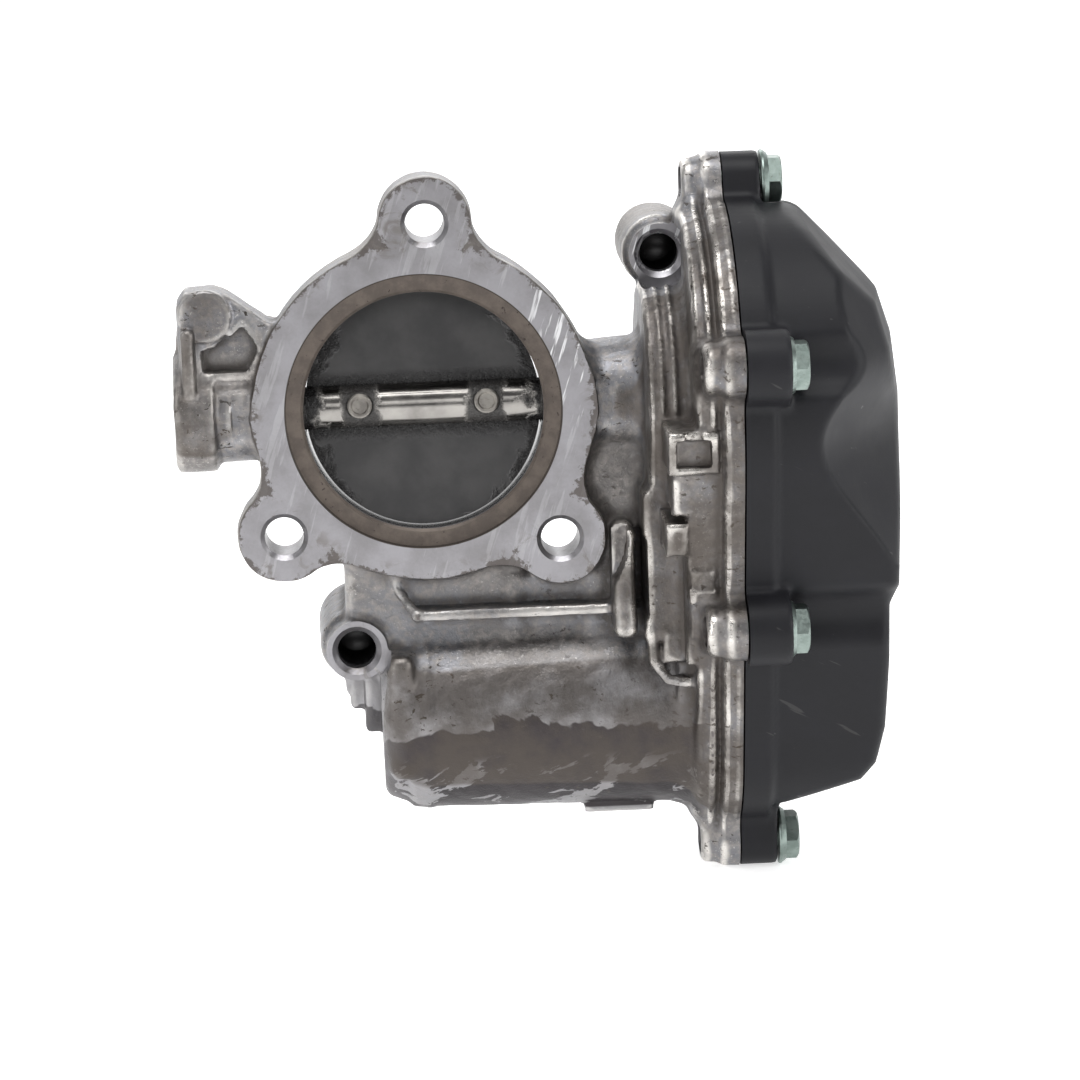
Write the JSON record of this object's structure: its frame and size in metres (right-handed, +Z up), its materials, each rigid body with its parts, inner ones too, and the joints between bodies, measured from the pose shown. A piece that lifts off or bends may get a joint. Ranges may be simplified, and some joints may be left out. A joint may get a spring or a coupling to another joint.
{
  "type": "throttle body",
  "caption": "Motor-driven throttle body: cast housing with a round bore, butterfly plate on a cross shaft, geared electric motor and moulded gear cover with connector.",
  "frame": {"origin": "centre of the bore on the rear mounting face, which seats on the intake manifold", "axes": "+Y along the bore out of the rear mounting face, +X along the throttle shaft towards the gear cover, +Z up, away from the motor"},
  "size_m": [0.131, 0.0899, 0.1321],
  "materials": {
    "cast_aluminium": "die-cast aluminium, shot-blasted grain with oily brown grime",
    "machined_steel": "ground steel",
    "plate_alloy": "dark conversion-coated plate with soot",
    "zinc_screw": "greenish zinc plating",
    "black_plastic": "fine-grained glass-filled moulding",
    "gear_plastic": "natural moulded gear plastic",
    "rubber": "matt elastomer",
    "spring_steel": "oil-tempered spring wire",
    "motor_steel": "drawn zinc-plated steel",
    "magnet": "sintered ferrite",
    "copper": "bare copper alloy",
    "brass": "sintered brass",
    "board": "solder-masked circuit board"
  },
  "bodies": {
    "housing": {"throttle_housing": "cast_aluminium", "gear_cover": "black_plastic", "cover_gasket": "rubber", "manifold_seal": "rubber", "shaft_seal_left": "rubber", "shaft_seal_right": "rubber", "shaft_bearing_left": "machined_steel", "shaft_bearing_right": "machined_steel", "bearing_end_plug": "machined_steel", "return_spring": "spring_steel", "gear_pin": "machined_steel", "motor_can": "motor_steel", "motor_magnet_1": "magnet", "motor_magnet_2": "magnet", "motor_end_cap": "black_plastic", "motor_brush_1": "magnet", "motor_brush_2": "magnet", "motor_bracket": "motor_steel", "motor_screw_1": "zinc_screw", "motor_screw_2": "zinc_screw", "motor_wave_washer": "spring_steel", "sensor_board": "board", "sensor_chip": "black_plastic", "cover_screw_1": "zinc_screw", "cover_screw_2": "zinc_screw", "cover_screw_3": "zinc_screw", "cover_screw_4": "zinc_screw", "cover_screw_5": "zinc_screw", "cover_screw_6": "zinc_screw", "cover_screw_7": "zinc_screw", "connector_terminal_1": "copper", "connector_terminal_2": "copper", "connector_terminal_3": "copper", "connector_terminal_4": "copper", "connector_terminal_5": "copper"},
    "throttle": {"throttle_shaft": "machined_steel", "throttle_plate": "plate_alloy", "plate_screw_1": "zinc_screw", "plate_screw_2": "zinc_screw", "throttle_gear": "gear_plastic", "position_magnet": "magnet"},
    "intermediate": {"intermediate_gear": "gear_plastic"},
    "rotor": {"motor_shaft": "machined_steel", "armature_core": "spring_steel", "commutator": "copper", "motor_pinion": "brass"}
  },
  "joints": [
    {"name": "throttle_turn", "type": "hinge", "parent": "housing", "child": "throttle", "pos_m": [0, -0.024, 0], "axis": [-1, 0, 0], "range_deg": [0, 80], "stiffness_Nm_per_rad": 0.07, "springref_deg": -126.05, "deforming": ["return_spring"]},
    {"name": "intermediate_turn", "type": "hinge", "parent": "housing", "child": "intermediate", "pos_m": [0.06, -0.02053, -0.03382], "axis": [-1, 0, 0], "range_deg": [-283, 0]},
    {"name": "motor_turn", "type": "hinge", "parent": "housing", "child": "rotor", "pos_m": [0.02, -0.018, -0.05849], "axis": [-1, 0, 0], "range_deg": [0, 1179]}
  ],
  "couplings": [
    {"joint": "intermediate_turn", "follows": "throttle_turn", "ratio": -3.5333},
    {"joint": "motor_turn", "follows": "throttle_turn", "ratio": 14.722}
  ]
}
